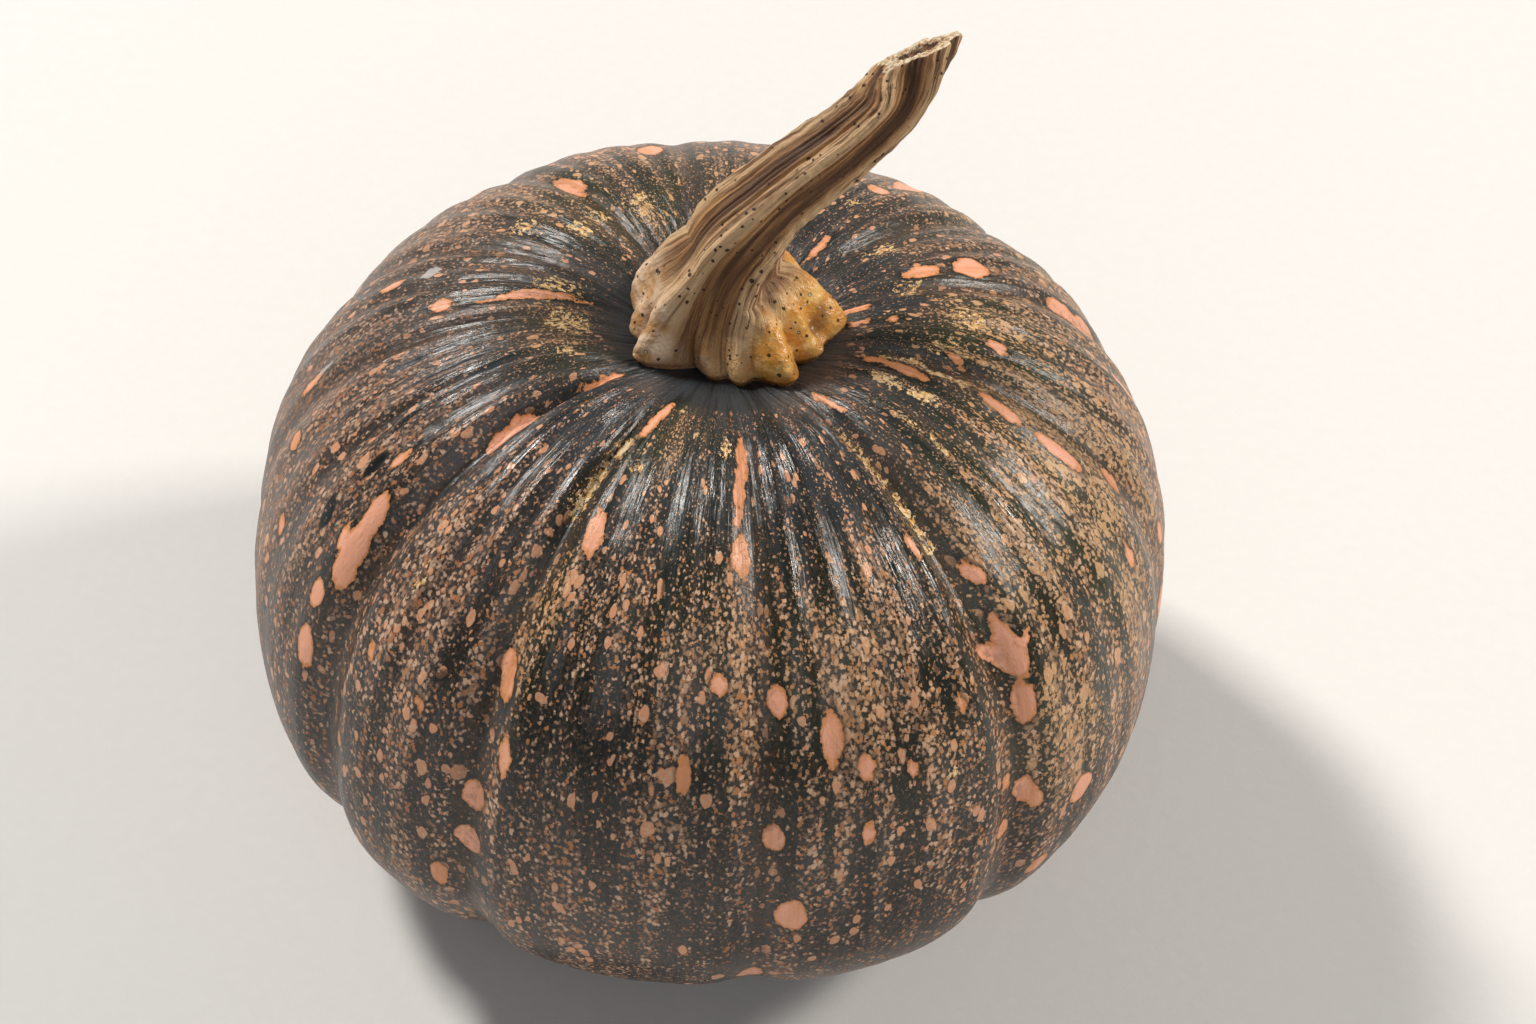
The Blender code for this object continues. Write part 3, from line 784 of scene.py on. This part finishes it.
def placeStalk(angles, ring):
    shape = stalkShape
    line = stalkLine()
    along = np.linspace(0, 1, len(line))
    length = np.linalg.norm(np.diff(line[:, :3], axis=0), axis=1).sum()
    step = ring - shape["cutRings"]
    sideRings = shape["shaftRings"] + shape["footRings"]
    part = np.clip(ring / shape["cutRings"], 0, 1)
    onShaft = 1 - (1 - shape["footTop"]) * step / shape["shaftRings"]
    downFoot = np.clip(1 - (step - shape["shaftRings"]) / shape["footRings"], 0, 1)
    onFoot = shape["footTop"] * downFoot ** shape["footCrowding"]
    share = np.clip(np.where(step < shape["shaftRings"], onShaft, onFoot), 0, 1)
    inward = np.clip((step - sideRings) / shape["seatRings"], 0, 1)
    row = np.stack([np.interp(share, along, line[:, k]) for k in range(12)], 1)
    middle, ahead, right, away = row[:, :3], row[:, 3:6], row[:, 6:9], row[:, 9:12]
    turn = np.radians(angles)

    phase = ridgePhase(angles, share)
    crest = (0.5 + 0.5 * np.cos(phase)) ** shape["ridge"][1]
    wound = phase / shape["ridges"]
    far = shape["noiseRadius"]
    side = np.stack((np.sin(turn) * far, -np.cos(turn) * far, share * length), 1)
    knobHeight, knobSize = shape["knobs"]
    knobs = roughness3d(side, knobSize, 2)
    fibreHeight, fibreCount = shape["fibres"]
    fibre = np.cos(wound * fibreCount + 0.5 * knobs)
    nickHeight, nickSize = shape["nicks"]
    nicks = roughness3d(side * (1, 1, 0.8) + 0.2, nickSize, 2)
    smallHeight, smallTurn, smallWidth = shape["sideRidges"]
    smallRidge = np.exp(-((np.cos(phase + smallTurn) - 1) / smallWidth) ** 2)
    girth = girthAt(share) + shape["ridge"][0] * (crest - shape["ridge"][2])
    girth += fibreHeight * fibre * eased(share, 0.1, 0.35) + knobHeight * knobs
    girth += nickHeight * nicks * (0.2 + crest) * eased(share, 0.05, 0.2)
    girth += smallHeight * smallRidge * eased(share, 0.15, 0.4)

    rightward, backward = np.sin(turn) * girth * part, -np.cos(turn) * girth * part
    tilt = eased(share * length, length - shape["cutTiltReach"], length)
    lean = (shape["cutTilt"][0] * rightward + shape["cutTilt"][1] * backward) * tilt
    chewHeight, chewSize = shape["chew"]
    chew = roughness3d(side * (1, 1, 0) + (0, 0, 0.5), chewSize, 3)
    onCut = step < 0
    notchDepth, notchAngle, notchWidth = shape["notch"]
    notch = np.exp(-(turnedBy(angles, notchAngle) / notchWidth) ** 2)
    sunk = shape["pithDepth"] * (1 - eased(part, 0.4, 0.66)) * onCut
    rim = eased(part, 0.62, 0.95) * (1 - eased((1 - share) * length, 0, 0.004))
    lean = np.minimum(lean, shape["bluntTip"])
    lean += rim * (chewHeight * chew - notchDepth * notch - shape["rimDrop"])
    lean -= shape["rimCrease"] * (part > 0.97) * (share > 0.995)
    poreHeight, poreSize = shape["pores"]
    pores = roughness3d(np.stack((rightward, backward, 0 * part), 1), poreSize, 3)
    lean += onCut * (1 - eased(part, 0.6, 0.8)) * poreHeight * pores
    places = middle + right * rightward[:, None] + away * backward[:, None] + ahead * (lean - sunk)[:, None]

    rise = middle[:, 2] - line[0, 2]
    flat = places[:, :2] - middle[:, :2]
    spread = np.maximum(np.linalg.norm(flat, axis=1), 1e-9)
    reach = footReach(angles, rise)
    far = shape["footNoiseRadius"]
    footSide = np.stack((np.sin(turn) * far, -np.cos(turn) * far, rise), 1)
    wartHeight, wartSize = shape["warts"]
    lumpHeight, lumpSize = shape["lumps"]
    warty = roughness3d(footSide, wartSize, 2)
    lumpy = roughness3d(footSide + 0.7, lumpSize, 1)
    tuck = 1 - shape["footTuck"] * (1 - eased(rise, 0, shape["footRounding"]))
    bulging = eased(reach, 0.001, 0.006)
    outward = (spread + reach + (wartHeight * warty + lumpHeight * lumpy) * bulging) * tuck
    below = middle[:, :2] + flat / spread[:, None] * outward[:, None]
    centre = np.array(shape["seatCentre"])
    below = below + (centre - below) * inward[:, None]
    lying = seatHeight(below[:, 0], below[:, 1]) - shape["sunkInSkin"]
    held = 1 - eased(share, 0, shape["footTop"])
    height = np.maximum(places[:, 2] + (lying + rise - places[:, 2]) * held, lying)
    height = np.where(inward > 0, lying, height)
    footed = np.concatenate((below, height[:, None]), 1)
    places = np.where(onCut[:, None], places, footed)

    start, startFade, end, endFade = shape["goldenToes"]
    golden = eased(turnedBy(angles, start), 0, startFade) * (1 - eased(turnedBy(angles, end), -5, endFade))
    far = shape["patternRadius"]
    fields = {
        "stalkPlace": np.stack((np.sin(wound) * far, np.cos(wound) * far, share * length), 1),
        "upStalk": share,
        "ridgeCrest": crest,
        "hollow": -lumpy * bulging,
        "bulge": bulging * (1 - eased(rise, 0.014, 0.026)),
        "golden": bulging * golden,
        "acrossCut": np.where(onCut, part, 1.5),
        "rise": rise * 1000,
    }
    return places, fields


# the stalk's finish

stalkLook = {
    "straw": (0.46, 0.24, 0.085),
    "pale": (0.7, 0.49, 0.28),
    "brown": (0.07, 0.026, 0.01),
    "umber": (0.19, 0.082, 0.03),
    "toe": (0.7, 0.52, 0.36),
    "ochre": (0.64, 0.27, 0.036),
    "butter": (0.85, 0.52, 0.17),
    # dark brown: painted shade in the foot's hollows, and the darker bottom of the foot
    "darkBrownAndShade": (0.17, 0.052, 0.007),
    "speck": (0.024, 0.008, 0.004),
    "pith": (0.29, 0.16, 0.08),
    "pithHole": (0.08, 0.03, 0.012),
    "rim": (0.82, 0.71, 0.51),
    # sizes of the finer changes, metres
    "fibres": 0.0008,
    "bands": 0.0034,
    "mottle": 0.0048,
    "grit": 0.0009,
    "holes": 0.0016,
    "speckLayers": ((0.0027, 0.2, 0.24), (0.0017, 0.24, 0.27)),  # cell size, share without, largest radius
    "bump": (0.0005, 0.9),  # height and strength
    "specular": 0.45,
}


def makeStalkWood():
    look = stalkLook
    wood = Recipe("stalkWood")
    alongStalk = wood.field("stalkPlace", "Vector")
    place = wood.add("TexCoord", {}, "Object")
    up = wood.field("upStalk")
    crest = wood.field("ridgeCrest")
    rise = wood.field("rise")

    fibres = wood.noise(wood.squashed(alongStalk, 0.035), look["fibres"], 4.0, 0.7)
    bands = wood.noise(wood.squashed(alongStalk, 0.08), look["bands"], 2.0, 0.5)
    mottle = wood.noise(place, look["mottle"], 3.0, 0.6)
    grit = wood.noise(place, look["grit"], 2.0, 0.6)
    colour = wood.mix(wood.step(fibres, 0.38, 0.6), look["umber"], look["straw"])
    # painted shade: the channels between the ridges darker brown, broken up by the bands
    channelShade = wood.times(wood.step(crest, 0.3, 0.03), wood.step(bands, 0.34, 0.52))
    channelShade = wood.times(channelShade, wood.step(up, 0.06, 0.24))
    colour = wood.mix(wood.times(channelShade, 0.88), colour, look["brown"])
    worn = wood.most(wood.step(crest, 0.3, 0.85), wood.step(bands, 0.54, 0.64, 0.0, 0.8))
    worn = wood.times(worn, wood.step(fibres, 0.38, 0.56), wood.rest(channelShade))
    colour = wood.mix(wood.times(worn, 0.7), colour, look["pale"])
    crack = wood.times(wood.step(fibres, 0.36, 0.28), wood.step(up, 0.05, 0.15))
    colour = wood.mix(wood.times(crack, 0.8), colour, look["brown"])

    # the swollen foot: pale on its left toes, ochre and glossy on its right ones
    bulge = wood.field("bulge")
    footTone = wood.mix(wood.step(mottle, 0.34, 0.6), look["straw"], look["toe"])
    colour = wood.mix(wood.times(bulge, wood.step(fibres, 0.3, 0.5, 0.55, 0.9)), colour, footTone)
    golden = wood.times(wood.field("golden"), wood.step(rise, 30.0, 15.0))
    goldTone = wood.mix(wood.step(mottle, 0.4, 0.68), look["ochre"], look["butter"])
    goldTone = wood.mix(wood.times(wood.step(grit, 0.5, 0.68), 0.5), goldTone, look["butter"])
    colour = wood.mix(golden, colour, goldTone)
    # painted shade: the hollows between the foot's lumps darker brown
    shade = wood.step(wood.sum(wood.field("hollow"), wood.swing(mottle, 0.8)), 0.02, 0.55)
    colour = wood.mix(wood.times(shade, bulge, 0.8), colour, look["darkBrownAndShade"])
    # darker brown towards the bottom of the foot's swellings, broken up by the mottle
    lowFootDarkening = wood.times(wood.step(rise, 6.0, 0.5), wood.step(mottle, 0.3, 0.56, 0.4, 1.0), bulge)
    colour = wood.mix(wood.times(lowFootDarkening, 0.85), colour, look["darkBrownAndShade"])

    # dark specks, most along the ridges and toes, and pale grains
    speckPlace = wood.shaken(place, 0.0014, 0.0006)
    speck = None
    for size, without, widest in look["speckLayers"]:
        distance, pick, other = wood.cells(speckPlace, size)
        reach = wood.step(pick, without, 1.0, 0.0, widest)
        reach = wood.times(reach, wood.step(wood.most(crest, bulge), 0.05, 0.6, 0.6, 1.0))
        spot = wood.step(wood.less(reach, distance), -0.01, 0.05)
        speck = wood.most(speck, spot) if speck else spot
    colour = wood.mix(wood.times(speck, 0.92), colour, look["speck"])
    reach = wood.step(other, 0.5, 1.0, 0.0, 0.24)
    grain = wood.times(wood.step(wood.less(reach, distance), 0.0, 0.05), bulge)
    colour = wood.mix(wood.times(grain, 0.75), colour, look["rim"])

    # the cut end: a pale chewed rim round rough brown pith
    across = wood.field("acrossCut")
    holes = wood.noise(place, look["holes"], 3.0, 0.65)
    rimTone = wood.mix(wood.step(grit, 0.36, 0.62), look["straw"], look["rim"])
    pithTone = wood.mix(wood.step(holes, 0.42, 0.6), look["pithHole"], look["pith"])
    edge = wood.sum(across, wood.swing(holes, 0.4))
    cutTone = wood.mix(wood.step(edge, 0.5, 0.62), pithTone, rimTone)
    onCut = wood.step(across, 1.12, 1.02)
    colour = wood.mix(onCut, colour, cutTone)

    gloss = wood.times(golden, wood.rest(speck), -0.3)
    roughness = wood.sum(wood.step(mottle, 0.3, 0.7, 0.66, 0.52), gloss, wood.times(onCut, 0.15))
    raised = wood.sum(wood.times(fibres, 2.6, wood.rest(wood.times(bulge, 0.8))), wood.times(speck, -0.6))
    raised = wood.sum(raised, wood.times(grit, 0.7), wood.times(mottle, bulge, 0.8), wood.times(grain, 0.4))
    raised = wood.sum(raised, wood.times(holes, onCut, 1.4))
    return wood.finish(colour, roughness, wood.bump(raised, *look["bump"]), look["specular"])


stalkRings = sum(stalkShape[key] for key in ("cutRings", "shaftRings", "footRings", "seatRings"))
stalk = wrappedSphere("stalk", stalkShape["segments"], stalkRings, placeStalk)
stalk.data.materials.append(makeStalkWood())
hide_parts("stem")
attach(stalk, "root")
print("stalk made:", len(stalk.data.polygons), "faces")


# floor, light and camera

studio = {
    "floorSize": 6.0,
    "floorColour": (0.66, 0.65, 0.63),
    "floorGrain": (0.03, 0.004),  # how much the colour changes, and over what size
    "floorRoughness": 0.75,
    "worldColour": (0.9, 0.93, 1.0),
    "worldStrength": 0.14,
    # name, place, aimed at, size, power, colour
    "lamps": (
        ("keyLamp", (-1.65, 1.0, 2.3), (0, 0, 0.1), (0.46, 0.42), 90.0, (1.0, 0.96, 0.91)),
        ("sideLamp", (2.1, 0.55, 1.6), (0, 0, 0.09), (0.46, 0.42), 55.0, (1.0, 0.94, 0.87)),
        ("frontLamp", (0.3, -2.6, 1.9), (0, 0, 0.07), (3.2, 2.2), 24.0, (0.96, 0.98, 1.0)),
    ),
}

photoView = {
    "equator": 0.0675,  # height of the point looked at
    "distance": 0.7854,
    "pitch": 46.0,
    "roll": 4.5,
    "lens": 75.0,
    "sensor": 36.0,
    "imageWidth": 1536,
    "offset": (58, 60),  # where that point lies from the image's middle, in pixels left and down
}


def makeFloor():
    half = studio["floorSize"] / 2
    mesh = bpy.data.meshes.new("floor")
    work = bmesh.new()
    bmesh.ops.create_grid(work, x_segments=8, y_segments=8, size=half)
    work.to_mesh(mesh)
    work.free()
    floor = placed("floor", mesh)
    paper = Recipe("paleFloor")
    place = paper.add("TexCoord", {}, "Object")
    change, size = studio["floorGrain"]
    tooth = paper.noise(place, size, 3.0, 0.6)
    dark, light = [tuple(part * (1 + way * change) for part in studio["floorColour"]) for way in (-1, 1)]
    colour = paper.mix(tooth, dark, light)
    relief = paper.bump(tooth, 0.0001)
    floor.data.materials.append(paper.finish(colour, studio["floorRoughness"], relief))


def makeLamps():
    for name, place, aim, size, power, colour in studio["lamps"]:
        lamp = bpy.data.lights.new(name, "AREA")
        lamp.shape = "RECTANGLE"
        lamp.size, lamp.size_y = size
        lamp.energy = power
        lamp.color = colour
        holder = placed(name, lamp)
        holder.location = place
        holder.rotation_euler = (Vector(place) - Vector(aim)).to_track_quat("Z", "Y").to_euler()
    world = bpy.data.worlds.new("studioAir")
    world.use_nodes = True
    air = world.node_tree.nodes["Background"]
    air.inputs["Color"].default_value = (*studio["worldColour"], 1)
    air.inputs["Strength"].default_value = studio["worldStrength"]
    bpy.context.scene.world = world


def makeCamera():
    view = photoView
    pitch, roll = math.radians(view["pitch"]), math.radians(view["roll"])
    forward = Vector((0, math.cos(pitch), -math.sin(pitch)))
    right, up = Vector((1, 0, 0)), Vector((0, math.sin(pitch), math.cos(pitch)))
    leanRight = right * math.cos(roll) + up * math.sin(roll)
    leanUp = up * math.cos(roll) - right * math.sin(roll)
    perPixel = view["distance"] * view["sensor"] / view["lens"] / view["imageWidth"]
    left, down = view["offset"]
    camera = bpy.data.cameras.new("camera")
    camera.lens, camera.sensor_width = view["lens"], view["sensor"]
    camera.clip_start = 0.01
    holder = placed("camera", camera)
    spot = Vector((0, 0, view["equator"])) - forward * view["distance"]
    spot += leanRight * left * perPixel + leanUp * down * perPixel
    turn = Matrix((leanRight, leanUp, -forward)).transposed().to_4x4()
    holder.matrix_world = Matrix.Translation(spot) @ turn
    bpy.context.scene.camera = holder


makeFloor()
makeLamps()
makeCamera()
bpy.context.scene.view_settings.view_transform = "Standard"
print("studio made")

bpy.context.view_layer.update()
